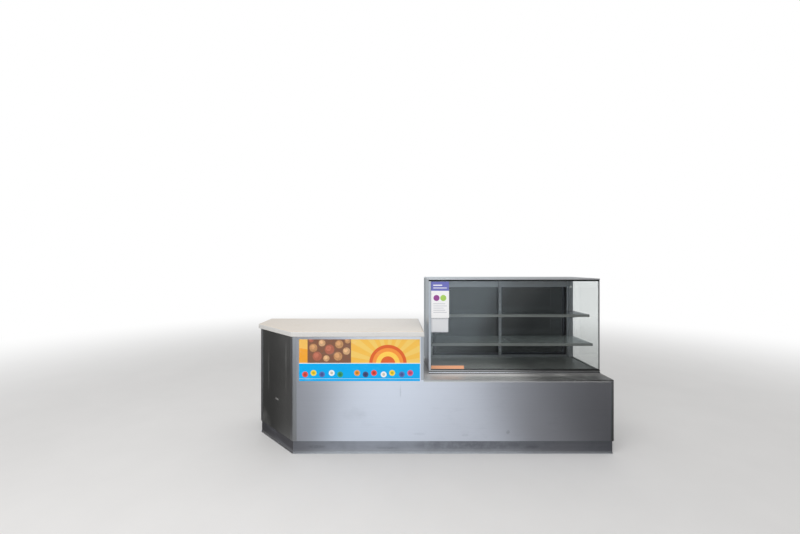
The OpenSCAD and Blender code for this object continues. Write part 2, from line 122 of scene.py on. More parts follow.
class CounterGlass(bpy.types.PropertyGroup):
    """Colours of the glass."""

    pane: colour("Panes", "Fixed panes of the case", (0.95, 0.97, 0.965))
    door: colour("Doors", "Grey tinted panes of the sliding doors", (0.026, 0.029, 0.030))
    shelf: colour("Shelves", "Glass shelves, green at their edges", (0.74, 0.78, 0.77))


class CounterPrints(bpy.types.PropertyGroup):
    """Places and colours of the poster and the leaflets."""

    left: length("Poster inset", "Distance of the poster from the counter's left side", 0.430)
    width: length("Poster width", "Width of the poster", 0.930)
    top: length("Poster top", "Distance of the poster from the top of the panel", 0.022)
    height: length("Poster height", "Height of the poster", 0.321)
    warm: colour("Poster field", "Main colour of the poster", (0.88, 0.52, 0.09))
    brown: colour("Poster panel", "Colour of the poster's panel", (0.22, 0.11, 0.07))
    cool: colour("Poster band", "Colour of the poster's lower band", (0.0, 0.42, 0.88))
    leaflet: length("Leaflet width", "Width of the leaflets on the glass", 0.146)


class CounterFittings(bpy.types.PropertyGroup):
    """Sizes of the small fittings."""

    screw: length("Screw head", "Diameter of the screw heads", 0.009)
    knob: length("Rack cap", "Diameter of the cap on the right upright", 0.020)
    corner_leg: length("Glass corner", "Leg of the strip on the corner of the glass", 0.007)
    bead: length("Sealant", "Width of the sealant beads", 0.004)


class CounterStage(bpy.types.PropertyGroup):
    """The floor, the light and the camera."""

    floor: colour("Floor", "Pale floor", (0.80, 0.79, 0.78))
    fill: share("Fill", "Level of the light from all round", 0.72)
    key: FloatProperty(name="Key", description="Power of the soft lamp over the front",
                       default=85.0, min=0.0, subtype="POWER", unit="POWER")
    lens: FloatProperty(name="Lens", description="Focal length of the camera",
                        default=16.425, min=1.0, subtype="DISTANCE_CAMERA", unit="CAMERA")
    across: length("Camera across", "Distance of the camera from the counter's left side", 1.168)
    distance: length("Camera distance", "Distance of the camera from the front panel", 2.808)
    eye: length("Camera height", "Height of the camera above the floor", 1.442)


class Graph:
    """Adds the nodes of one node tree and joins them."""

    def __init__(self, tree):
        self.tree = tree

    def add(self, kind, inputs=None, **settings):
        """A node with its settings. An input is a value or the output that feeds it."""
        node = self.tree.nodes.new(kind)
        for name, value in settings.items():
            setattr(node, name, value)
        for name, value in (inputs or {}).items():
            self.feed(value, node.inputs[name])
        return node

    def feed(self, value, socket):
        """Sets a socket to a value, or joins an output to it."""
        if isinstance(value, bpy.types.NodeSocket):
            self.tree.links.new(value, socket)
        else:
            socket.default_value = value

    def math(self, operation, first, second=0.0, third=0.0, clamp=False):
        """The result of a Math node."""
        node = self.add("ShaderNodeMath", {0: first, 1: second, 2: third},
                        operation=operation, use_clamp=clamp)
        return node.outputs[0]

    def scaled(self, value, factor, base=0.0):
        """The value times a factor, plus a base."""
        return self.math("MULTIPLY_ADD", value, factor, base)

    def mix(self, factor, first, second):
        """Two colours mixed."""
        node = self.add("ShaderNodeMix", {0: factor, 6: first, 7: second}, data_type="RGBA")
        return node.outputs[2]

    def flecked(self, mask, rgb, spread):
        """A colour that a mask makes darker and lighter."""
        return self.mix(mask, tone(rgb, 1.0 - spread), tone(rgb, 1.0 + spread))

    def over(self, base, mask, share, rgb, level=1.0):
        """A colour laid over a base by a share of a mask."""
        return self.mix(self.scaled(mask, share), base, tone(rgb, level))

    def ramp(self, value, low, high, start=0.0, end=1.0):
        """A smooth rise from start to end as the value goes from low to high."""
        node = self.add("ShaderNodeMapRange", {0: value, 1: low, 2: high, 3: start, 4: end},
                        interpolation_type="SMOOTHSTEP")
        return node.outputs[0]

    def noise(self, vector, scale, detail, roughness):
        """The value of a noise texture."""
        node = self.add("ShaderNodeTexNoise", {"Vector": vector, "Scale": scale, "Detail": detail,
                                               "Roughness": roughness})
        return node.outputs[0]

    def place(self):
        """The point on the object, in metres from its origin."""
        return self.add("ShaderNodeTexCoord").outputs["Object"]

    def stretched(self, vector, by):
        """A vector with each of its parts times a factor."""
        return self.add("ShaderNodeVectorMath", {0: vector, 1: by}, operation="MULTIPLY").outputs[0]

    def split(self, vector):
        """The X, Y and Z of a vector."""
        return self.add("ShaderNodeSeparateXYZ", {0: vector}).outputs

    def facing(self, kind="True Normal"):
        """The X, Y and Z of the way that the surface faces."""
        return self.split(self.add("ShaderNodeNewGeometry").outputs[kind])

    def either(self, share, first, second):
        """Two shaders mixed."""
        return self.add("ShaderNodeMixShader", {0: share, 1: first, 2: second}).outputs[0]

    def show(self, result):
        """Joins a shader to the material's output."""
        output = next(n for n in self.tree.nodes if n.type == "OUTPUT_MATERIAL")
        self.feed(result, output.inputs["Surface"])

    def group(self, name, **inputs):
        """The result of one of the shared groups with these inputs."""
        node = self.add("ShaderNodeGroup", node_tree=SHARED[name]())
        for label, value in inputs.items():
            self.feed(value, node.inputs[spoken(label)])
        return node.outputs[0]


# The shared node groups, by the names of the functions that draw them.
SHARED = {}


def spoken(name):
    """The label of a socket, from its name in the code."""
    return name.replace("_", " ").capitalize()


def shared(kind="NodeSocketFloat", result="Mask", **inputs):
    """Keeps a drawing as a node group, which is made the first time that it is asked for."""
    def keep(draw):
        label = draw.__doc__.split(":")[0]

        def give():
            if label in bpy.data.node_groups:
                return bpy.data.node_groups[label]
            tree = bpy.data.node_groups.new(label, "ShaderNodeTree")
            for name, default in inputs.items():
                form = "NodeSocketVector" if isinstance(default, tuple) else "NodeSocketFloat"
                socket = tree.interface.new_socket(spoken(name), in_out="INPUT", socket_type=form)
                socket.default_value = default
            tree.interface.new_socket(result, in_out="OUTPUT", socket_type=kind)
            g = Graph(tree)
            given = g.add("NodeGroupInput").outputs
            g.feed(draw(g, given), g.add("NodeGroupOutput").inputs[result])
            return tree

        SHARED[draw.__name__] = give
        return draw
    return keep


@shared(stretch=(1.0, 1.0, 100.0), scale=1.0)
def grain(g, given):
    """Brushed grain: fine lines along one direction, from noise that is stretched."""
    at = g.stretched(g.place(), given["Stretch"])
    coarse = g.noise(at, given["Scale"], 3.0, 0.6)
    fine = g.noise(at, g.scaled(given["Scale"], 6.0), 3.0, 0.7)
    return g.ramp(g.scaled(fine, 0.45, g.scaled(coarse, 0.55)), 0.34, 0.66)


@shared(scale=4.0, cover=0.5)
def smudges(g, given):
    """Smudges: soft clouds left by hands and cloths."""
    place = g.place()
    cloud = g.noise(place, given["Scale"], 5.0, 0.6)
    wipe = g.noise(g.stretched(place, (1.0, 1.0, 3.0)), g.scaled(given["Scale"], 3.0), 4.0, 0.65)
    edge = g.math("SUBTRACT", 0.74, g.scaled(given["Cover"], 0.4))
    return g.ramp(g.scaled(wipe, 0.4, g.scaled(cloud, 0.6)), edge, g.math("ADD", edge, 0.2))


@shared(scale=300.0)
def speckle(g, given):
    """Speckle: small flecks of two sizes, as in laminate and faced board."""
    place = g.place()
    small = g.noise(place, given["Scale"], 2.0, 0.5)
    large = g.noise(place, g.scaled(given["Scale"], 0.2), 3.0, 0.6)
    return g.ramp(g.scaled(large, 0.5, g.scaled(small, 0.5)), 0.36, 0.64)


@shared(scale=20.0, amount=0.5)
def scratches(g, given):
    """Scratches: thin broken lines that run in many directions."""
    place = g.place()
    bend = g.add("ShaderNodeTexNoise", {"Vector": place, "Scale": 2.0, "Detail": 2.0}).outputs[1]
    at = g.add("ShaderNodeVectorMath", {0: place, 1: bend}, operation="ADD").outputs[0]
    cells = g.add("ShaderNodeTexVoronoi", {"Vector": at, "Scale": given["Scale"]},
                  feature="DISTANCE_TO_EDGE")
    line = g.ramp(cells.outputs[0], 0.0, 0.016, 1.0, 0.0)
    broken = g.ramp(g.noise(place, g.scaled(given["Scale"], 0.7), 3.0, 0.6), 0.52, 0.60)
    return g.scaled(g.scaled(line, broken), given["Amount"])


@shared(radius=0.002, amount=1.0)
def edge_wear(g, given):
    """Edge wear: the edges and corners of a solid, broken up by noise."""
    bevel = g.add("ShaderNodeBevel", {"Radius": given["Radius"]}, samples=4)
    flat = g.add("ShaderNodeNewGeometry").outputs["True Normal"]
    turn = g.add("ShaderNodeVectorMath", {0: bevel.outputs[0], 1: flat}, operation="DOT_PRODUCT")
    rim = g.ramp(turn.outputs["Value"], 0.80, 0.99, 1.0, 0.0)
    broken = g.ramp(g.noise(g.place(), 45.0, 4.0, 0.7), 0.35, 0.65)
    return g.scaled(g.scaled(rim, broken), given["Amount"])


@shared(kind="NodeSocketVector", result="Normal", radius=0.001)
def eased_edge(g, given):
    """Eased edge: the normal of an edge that is slightly rounded."""
    return g.add("ShaderNodeBevel", {"Radius": given["Radius"]}, samples=4).outputs[0]


@shared(across=0.0, height=0.5, half_width=0.01, half_height=0.05)
def mark(g, given):
    """Mark: one soft mark at a place, of a given half width and half height."""
    place = g.split(g.place())
    side = g.math("DIVIDE", g.math("SUBTRACT", place["X"], given["Across"]), given["Half width"])
    up = g.math("DIVIDE", g.math("SUBTRACT", place["Z"], given["Height"]), given["Half height"])
    far = g.math("ADD", g.scaled(side, side), g.scaled(up, up))
    patches = g.noise(g.place(), g.math("DIVIDE", 1.2, given["Half height"]), 3.0, 0.6)
    broken = g.ramp(patches, 0.30, 0.62, 0.35, 1.0)
    return g.scaled(g.ramp(far, 0.1, 1.0, 1.0, 0.0), broken)


def tone(rgb, level=1.0):
    """A colour with alpha, made lighter or darker."""
    return (*(min(1.0, c * level) for c in rgb), 1.0)


def new_material(name, sockets=None):
    """A material with a Principled shader that has these values, its graph and the shader."""
    material = bpy.data.materials.new(name)
    material.use_nodes = True
    material.node_tree.nodes.clear()
    graph = Graph(material.node_tree)
    shader = graph.add("ShaderNodeBsdfPrincipled")
    for label, value in (sockets or {}).items():
        shader.inputs[label].default_value = value
    graph.add("ShaderNodeOutputMaterial")
    graph.show(shader.outputs[0])
    return material, graph, shader


def finish_surface(g, shader, base, rough, height, strength, radius, distance):
    """Joins the colour, roughness and relief of a surface with eased edges to its shader."""
    g.feed(base, shader.inputs["Base Color"])
    g.feed(rough, shader.inputs["Roughness"])
    bump = g.add("ShaderNodeBump", {"Strength": strength, "Distance": distance, "Height": height,
                                    "Normal": g.group("eased_edge", radius=radius)})
    g.feed(bump.outputs[0], shader.inputs["Normal"])


# The brushing of each finish: the small numbers are the directions that its lines are drawn along.
SHEET_GRAIN = (1.0, 1.0, 380.0)
UPRIGHT_GRAIN = (150.0, 150.0, 1.3)
PLINTH_GRAIN = (3.0, 3.0, 60.0)
LONG_GRAIN = (1.3, 120.0, 120.0)
END_GRAIN = (1.3, 1.3, 120.0)
POST_GRAIN = (120.0, 120.0, 1.3)
TRACK_GRAIN = (1.6, 160.0, 160.0)
STRIP_GRAIN = (2.0, 160.0, 160.0)
PLASTIC_GRAIN = (1.5, 140.0, 140.0)
PROFILE_GRAIN = (160.0, 160.0, 2.0)
DOOR_GRAIN = (90.0, 90.0, 2.2)
FLOOR_TRIM_GRAIN = (2.0, 90.0, 90.0)
EVEN_GRAIN = (300.0, 300.0, 300.0)

# The dark that painted shade draws steel towards, and what a dried film on steel looks like; the
# film is also laid on as painted reflections.
SHADE_DARK = (0.03, 0.03, 0.03, 1.0)
FILM_AND_SHEEN = (0.62, 0.61, 0.59, 1.0)


def mark_masks(g, marks):
    """The mask of each mark, given by across, height, half width, half height and depth."""
    for across, height, half_width, half_height, depth in marks:
        spot = g.group("mark", across=across, height=height, half_width=half_width,
                       half_height=half_height)
        yield g.scaled(spot, depth)


def brushed_metal(name, rgb, roughness, stretch, anisotropy=0.0, axis="X", soil=0.5, marks=(),
                  radius=0.0012, relief=0.12, metallic=1.0, contrast=0.06, shade_lanes=(), films_and_sheen=(),
                  matt=None):
    """Brushed metal: grain, smudges, fine scratches and brighter worn edges.

    Marks darken the metal, and deposits cover it with a dry film. Each lane in dulled is an axis,
    where it starts and ends, and how much of the shine it takes. The matt lane is given the same
    way, and turns the metal from a mirror into a plain surface.
    """
    material, g, shader = new_material(name, {"Metallic": metallic, "Anisotropic": anisotropy})
    brushing = g.group("grain", stretch=stretch)
    cloud = g.group("smudges", scale=3.2, cover=soil)
    lines = g.group("scratches", scale=17.0, amount=0.55)
    worn = g.group("edge_wear", radius=0.0015, amount=0.6)
    base = g.flecked(brushing, rgb, contrast)
    at = g.split(g.place())
    # Each of these lanes is painted shade: it darkens the colour along its axis.
    for along, start, end, loss in shade_lanes:
        base = g.mix(g.ramp(at[along], start, end, 0.0, loss), base, SHADE_DARK)
    base = g.over(base, cloud, 0.35, rgb, 0.80)
    base = g.over(base, lines, 0.30, rgb, 1.22)
    for mask in mark_masks(g, marks):
        base = g.mix(mask, base, tone(rgb, 0.45))
    base = g.mix(worn, base, tone(rgb, 1.20))
    bare = metallic
    # Some of these films are painted reflections: pale lines laid on the metal.
    for mask in mark_masks(g, films_and_sheen):
        base = g.mix(mask, base, FILM_AND_SHEEN)
        bare = g.math("SUBTRACT", bare, mask, clamp=True)
    if matt:
        along, start, end, loss = matt
        bare = g.math("SUBTRACT", bare, g.ramp(at[along], start, end, 0.0, loss), clamp=True)
    g.feed(bare, shader.inputs["Metallic"])
    rough = g.scaled(brushing, 0.08, roughness - 0.04)
    rough = g.scaled(cloud, 0.10, rough)
    finish_surface(g, shader, base, rough, brushing, relief, radius, 0.0002)
    if anisotropy:
        g.feed(g.add("ShaderNodeTangent", direction_type="RADIAL", axis=axis).outputs[0],
               shader.inputs["Tangent"])
    return material


def sealant(name, clean, dirty, scale, dirt, rough):
    """Sealant: slightly lumpy, with dirt in patches."""
    material, g, shader = new_material(name)
    grime = g.group("smudges", scale=scale, cover=0.5)
    lumps = g.group("speckle", scale=160.0)
    base = g.over(tone(clean), grime, dirt, dirty)
    finish_surface(g, shader, base, g.scaled(grime, 0.3, rough), lumps, 0.3, 0.0006, 0.0005)
    return material


def clear_glass(name, rgb, smear, edge=None, clear=1.0):
    """Clear glass that lets lamps through: fine smears, and a tint on its ground edges."""
    material, g, shader = new_material(name, {"Transmission Weight": clear, "IOR": 1.5})
    wiped = g.group("smudges", scale=5.0, cover=0.45)
    base = g.over(tone(rgb), wiped, 0.10, rgb, 0.90)
    rough = g.scaled(wiped, smear)
    if edge:
        rim = g.group("edge_wear", radius=0.003, amount=1.0)
        base = g.mix(rim, base, tone(edge))
        rough = g.scaled(rim, 0.25, rough)
    g.feed(base, shader.inputs["Base Color"])
    g.feed(rough, shader.inputs["Roughness"])
    path = g.add("ShaderNodeLightPath").outputs
    through = g.math("MAXIMUM", path["Is Shadow Ray"], path["Is Diffuse Ray"])
    lit = g.add("ShaderNodeBsdfTransparent", {"Color": tone(rgb)}).outputs[0]
    g.show(g.either(through, shader.outputs[0], lit))
    return material


def dress(material, *names):
    """Gives a material to nodes of the frame."""
    for name in names:
        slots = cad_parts[name].material_slots
        if not slots:
            raise ValueError(f"{name} has no material slot")
        for slot in slots:
            slot.material = material


def add_piece(name, mesh_source, material, body="root", bevel=0.0):
    """Makes an object from a bmesh and lets it ride on a body of the frame."""
    mesh = bpy.data.meshes.new(name)
    bmesh.ops.recalc_face_normals(mesh_source, faces=mesh_source.faces[:])
    mesh_source.to_mesh(mesh)
    mesh_source.free()
    mesh.materials.append(material)
    piece = bpy.data.objects.new(name, mesh)
    bpy.context.scene.collection.objects.link(piece)
    if bevel:
        rounding = piece.modifiers.new("Rounding", "BEVEL")
        rounding.width = bevel
        rounding.segments = 2
        rounding.limit_method = "ANGLE"
    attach(piece, body)


def extrude(target, outline, low, high, axis):
    """Adds a prism: an outline in the two other axes, drawn from low to high along one axis."""
    order = {"X": (2, 0, 1), "Y": (0, 2, 1), "Z": (0, 1, 2)}[axis]
    rings = []
    for level in (low, high):
        ring = []
        for point in outline:
            values = (*point, level)
            ring.append(target.verts.new([values[i] for i in order]))
        rings.append(ring)
    count = len(outline)
    target.faces.new(rings[0])
    target.faces.new(rings[1][::-1])
    for i in range(count):
        j = (i + 1) % count
        target.faces.new((rings[0][i], rings[1][i], rings[1][j], rings[0][j]))


# How many straight pieces a rounded corner and the face of a sealant bead have.
CORNER_STEPS = 5
BEAD_STEPS = 6


def add_prism(name, outlines, low, high, axis, material, body="root", bevel=0.0):
    """Makes a piece from outlines that are drawn from low to high along one axis."""
    solid = bmesh.new()
    for outline in outlines:
        extrude(solid, outline, low, high, axis)
    add_piece(name, solid, material, body, bevel)


def arc(centre, reach, start, end, steps):
    """Points on an arc from one angle to another, with its reach across and its reach up."""
    points = []
    for i in range(steps + 1):
        angle = math.radians(start + (end - start) * i / steps)
        points.append((centre[0] + reach[0] * math.cos(angle),
                       centre[1] + reach[1] * math.sin(angle)))
    return points


def rounded_rectangle(x0, z0, x1, z1, radius):
    """The outline of a rectangle with rounded corners."""
    points = []
    for x, z, start in ((x1 - radius, z1 - radius, 0), (x0 + radius, z1 - radius, 90),
                        (x0 + radius, z0 + radius, 180), (x1 - radius, z0 + radius, 270)):
        points += arc((x, z), (radius, radius), start, start + 90, CORNER_STEPS)
    return points


def lathe(target, profile, centre, direction, steps):
    """Adds a turned solid: a profile of (radius, height) points about a direction."""
    spin = Vector(direction).to_track_quat("Z", "Y")
    rings = []
    for radius, height in profile:
        ring = []
        for i in range(steps):
            angle = 2 * math.pi * i / steps
            point = Vector((radius * math.cos(angle), radius * math.sin(angle), height))
            ring.append(target.verts.new(Vector(centre) + spin @ point))
        rings.append(ring)
    for below, above in zip(rings, rings[1:]):
        for i in range(steps):
            j = (i + 1) % steps
            target.faces.new((below[i], below[j], above[j], above[i]))
    target.faces.new(rings[0][::-1])
    target.faces.new(rings[-1])


def add_turned(name, profile, places, steps, material):
    """Makes a piece of turned solids, each at a centre and along a direction."""
    solid = bmesh.new()
    for centre, direction in places:
        lathe(solid, profile, centre, direction, steps)
    add_piece(name, solid, material)


def button_head(diameter):
    """The profile of a screw's button head with a round socket."""
    r = diameter / 2
    rise = 0.55 * r
    dome = [(r * math.cos(a), rise * math.sin(a)) for a in (0.0, 0.3, 0.6, 0.9, 1.1)]
    return [(r, -0.0002), *dome, (0.38 * r, rise), (0.34 * r, 0.92 * rise), (0.34 * r, 0.45 * rise)]


# Marks and films on the steel, among them painted shade and painted reflections: across, height,
# half width, half height and depth.
PANEL_MARKS = [
    (-0.205, 0.480, 0.007, 0.058, 0.40),
    (0.622, 0.165, 0.018, 0.020, 0.40),
    (-0.060, 0.150, 0.060, 0.012, 0.16),
    (0.292, 0.140, 0.035, 0.010, 0.18),
    (-0.560, 0.300, 0.120, 0.060, 0.10),
]
# The one mark on the cut corner is painted shade: it darkens the corner's upper part.
CORNER_PAINTED_SHADE = [(-1.210, 0.700, 0.320, 0.360, 0.40)]
CORNER_FILMS_AND_REFLECTIONS = [
    (-1.212, 0.355, 0.028, 0.011, 0.38),
    # The next two thin upright lines are painted reflections.
    (-1.3185, 0.600, 0.005, 0.270, 0.26),
    (-1.107, 0.640, 0.005, 0.250, 0.22),
    (-1.380, 0.125, 0.110, 0.120, 0.12),
]
PLINTH_SCUFFS_AND_SHADE = [
    (-0.850, 0.050, 0.090, 0.016, 0.35),
    (-0.300, 0.040, 0.120, 0.012, 0.30),
    (0.350, 0.060, 0.100, 0.016, 0.35),
    (0.800, 0.045, 0.070, 0.014, 0.30),
    # This wide mark darkens the right part of the plinth: painted shade.
    (0.340, 0.062, 0.640, 0.046, 0.48),
]
PLINTH_FILMS = [(0.0, 0.010, 1.75, 0.028, 0.18)]


class COUNTER_OT_dress_cladding(bpy.types.Operator):
    """Gives the steel sheets and their trims a brushed, smudged finish"""

    bl_idname = "counter.dress_cladding"
    bl_label = "Dress Cladding"

    def execute(self, context):
        metal = context.scene.counter_metal
        rough, spread = metal.roughness, metal.anisotropy
        dress(brushed_metal("Brushed front steel", metal.steel, rough, SHEET_GRAIN, spread,
                            marks=PANEL_MARKS, relief=0.05, contrast=0.02),
              "front_cladding")
        # The cut corner is darker towards its left and darker at the top from its one mark: painted
        # shade.
        dress(brushed_metal("Corner steel with painted shade and reflections", metal.shaded, rough, SHEET_GRAIN, soil=0.55,
                            marks=CORNER_PAINTED_SHADE, relief=0.05, contrast=0.02,
                            shade_lanes=[("X", -1.08, -1.30, 0.42)], films_and_sheen=CORNER_FILMS_AND_REFLECTIONS),
              "cut_corner_cladding")
        dress(brushed_metal("Brushed side steel", metal.steel, rough, SHEET_GRAIN, spread, "Y",
                            relief=0.05, contrast=0.02),
              "side_cladding", "step_cladding")
        dress(brushed_metal("Brushed trim steel", metal.trim, 0.36, UPRIGHT_GRAIN, 0.5, "Z", 0.4),
              "corner_trims")
        dress(brushed_metal("Brushed edge steel", metal.channel, 0.36, UPRIGHT_GRAIN, 0.5, "Z",
                            0.4),
              "edge_trims")
        # The plinth's wide mark is painted shade; the others are scuffs.
        dress(brushed_metal("Scuffed plinth steel with painted shade", metal.plinth, 0.52, PLINTH_GRAIN, 0.5,
                            soil=0.8, marks=PLINTH_SCUFFS_AND_SHADE, relief=0.25, films_and_sheen=PLINTH_FILMS),
              "plinth_front", "plinth_sides", "plinth_cut_corner", "plinth_rear")
        dress(brushed_metal("Worn floor trim", metal.trim, 0.45, FLOOR_TRIM_GRAIN, soil=0.7),
              "floor_trims")
        return {"FINISHED"}


class COUNTER_OT_dress_deck(bpy.types.Operator):
    """Gives the deck and the case's metal a finish worn by use"""

    bl_idname = "counter.dress_deck"
    bl_label = "Dress Deck and Case"

    def execute(self, context):
        metal = context.scene.counter_metal
        fold = lowest("deck_sheet").y
        # The deck is darker towards the right and on the face of its fold: painted shade.
        dress(brushed_metal("Worn deck steel with painted shade", metal.deck, 0.45, LONG_GRAIN, 0.6, soil=0.7,
                            metallic=0.75,
                            shade_lanes=[("X", 0.64, 0.97, 0.72), ("X", 1.05, 1.35, 0.30),
                                    ("Y", fold + 0.0016, fold + 0.0002, 0.42)],
                            matt=("Y", -0.262, -0.212, 0.62)),
              "deck_sheet")
        # The case's floor is darker towards the right: painted shade.
        dress(brushed_metal("Cabinet floor steel", metal.tray, 0.42, LONG_GRAIN, 0.6, soil=0.6,
                            metallic=0.7, shade_lanes=[("X", 0.50, 0.95, 0.68)]),
              "case_floor")
        # The base frame is darker towards the right: painted shade.
        dress(brushed_metal("Brushed base steel", metal.case, 0.30, LONG_GRAIN, 0.4, soil=0.4,
                            shade_lanes=[("X", 0.60, 1.00, 0.6)]),
              "case_base_frame")
        dress(brushed_metal("Satin top steel", metal.top, 0.40, LONG_GRAIN, 0.5, soil=0.4,
                            radius=0.004, metallic=0.8),
              "case_top")
        # The case's left end is darker towards the rear: painted shade.
        dress(brushed_metal("Brushed end steel", metal.case, 0.40, END_GRAIN, 0.5, "Y", 0.4,
                            shade_lanes=[("Y", 0.04, 0.26, 0.70)]),
              "case_left_end")
        dress(brushed_metal("Brushed post steel", metal.aluminium, 0.40, POST_GRAIN, 0.5, "Z",
                            0.4),
              "rear_posts")
        dress(brushed_metal("Satin channel", metal.channel, 0.34, PROFILE_GRAIN, soil=0.3),
              "case_front_channel")
        dress(brushed_metal("Anodised track", metal.aluminium, 0.40, TRACK_GRAIN, soil=0.4),
              "rear_bottom_track", "rear_top_track")
        dress(brushed_metal("Anodised rack", metal.aluminium, 0.42, PROFILE_GRAIN, soil=0.3),
              "shelf_uprights", "shelf_brackets")
        dress(brushed_metal("Anodised door", metal.door, 0.36, DOOR_GRAIN, soil=0.35),
              "door_left_frame", "door_right_frame")
        return {"FINISHED"}


class COUNTER_OT_dress_boards(bpy.types.Operator):
    """Gives the boards a white facing with edging on the staff side"""

    bl_idname = "counter.dress_boards"
    bl_label = "Dress Boards"

    def execute(self, context):
        boards = context.scene.counter_boards
        material, g, shader = new_material("White faced board",
                                           {"Coat Weight": 0.15, "Coat Roughness": 0.3})
        fleck = g.group("speckle", scale=420.0)
        soil = g.group("smudges", scale=3.0, cover=0.5)
        lines = g.group("scratches", scale=11.0, amount=0.8)
        worn = g.group("edge_wear", radius=0.0015, amount=0.8)
        edging = g.ramp(g.facing()["Y"], 0.90, 0.95)
        base = g.mix(edging, g.flecked(fleck, boards.board, 0.03),
                     g.flecked(fleck, boards.board_edge, 0.02))
        base = g.over(base, soil, 0.18, (0.50, 0.46, 0.40))
        base = g.over(base, lines, 0.30, (0.42, 0.40, 0.37))
        base = g.over(base, worn, 0.55, (0.45, 0.36, 0.26))
        finish_surface(g, shader, base, g.scaled(soil, 0.15, 0.42), fleck, 0.08, 0.0008, 0.0003)
        dress(material, "bottom_board", "front_board", "cut_corner_board", "left_board",
              "right_board", "step_board", "deck_board", "deck_divider", "deck_shelves",
              "till_divider", "till_shelves", "till_rear_rail")
        return {"FINISHED"}


class COUNTER_OT_dress_worktop(bpy.types.Operator):
    """Gives the worktop a cream laminate with a greyer edge"""

    bl_idname = "counter.dress_worktop"
    bl_label = "Dress Worktop"

    def execute(self, context):
        boards = context.scene.counter_boards
        material, g, shader = new_material("Cream laminate",
                                           {"Coat Weight": 0.2, "Coat Roughness": 0.18})
        fleck = g.group("speckle", scale=260.0)
        soil = g.group("smudges", scale=4.0, cover=0.5)
        lines = g.group("scratches", scale=14.0, amount=0.7)
        worn = g.group("edge_wear", radius=0.004, amount=0.5)
        upward = g.ramp(g.facing("Normal")["Z"], 0.55, 0.97)
        base = g.mix(upward, g.flecked(fleck, boards.worktop_edge, 0.015),
                     g.flecked(fleck, boards.worktop, 0.015))
        base = g.over(base, soil, 0.20, boards.worktop, 0.78)
        base = g.over(base, lines, 0.35, boards.worktop, 0.70)
        base = g.over(base, worn, 1.0, boards.worktop_edge, 1.15)
        rough = g.scaled(lines, 0.20, g.scaled(soil, 0.16, 0.30))
        finish_surface(g, shader, base, rough, fleck, 0.10, 0.0015, 0.0003)
        dress(material, "worktop")
        return {"FINISHED"}


class COUNTER_OT_dress_glass(bpy.types.Operator):
    """Gives the panes, the shelves, the seal and the shelf strips their finish"""

    bl_idname = "counter.dress_glass"
    bl_label = "Dress Glass"

    def execute(self, context):
        glass = context.scene.counter_glass
        boards = context.scene.counter_boards
        dress(clear_glass("Clear glass", glass.pane, 0.02, (0.55, 0.78, 0.70)),
              "case_front_glass", "case_right_glass")
        dress(clear_glass("Grey tinted glass", glass.door, 0.03),
              "door_left_pane", "door_right_pane")
        green = (0.35, 0.58, 0.50)
        dress(clear_glass("Shelf glass", glass.shelf, 0.04, green, 0.96), "upper_shelf")
        dress(clear_glass("Worn shelf glass", glass.shelf, 0.06, green, 0.84), "lower_shelf")

        rubber, g, shader = new_material("Black seal", {"Specular IOR Level": 0.25})
        dust = g.group("smudges", scale=9.0, cover=0.6)
        grit = g.group("speckle", scale=600.0)
        base = g.over(tone(boards.rubber), dust, 0.5, boards.rubber, 3.0)
        finish_surface(g, shader, base, g.scaled(dust, 0.2, 0.55), grit, 0.3, 0.0008, 0.0003)
        dress(rubber, "case_top_seal")

        plastic, g, shader = new_material("Shelf strip plastic",
                                          {"Coat Weight": 0.3, "Coat Roughness": 0.2})
        lines = g.group("grain", stretch=PLASTIC_GRAIN)
        soil = g.group("smudges", scale=8.0, cover=0.5)
        base = g.mix(lines, tone(boards.strip, 0.90), tone(boards.strip, 1.05))
        base = g.over(base, soil, 0.25, boards.strip, 0.7)
        finish_surface(g, shader, base, g.scaled(soil, 0.2, 0.28), lines, 0.1, 0.0006, 0.0003)
        dress(plastic, "shelf_strips")
        return {"FINISHED"}


PAPER = (0.80, 0.80, 0.78)
# How soft the edges of boxes and discs are, in parts of the sheet's width.
BOX_EDGE = 0.001
DISC_EDGE = 0.0015


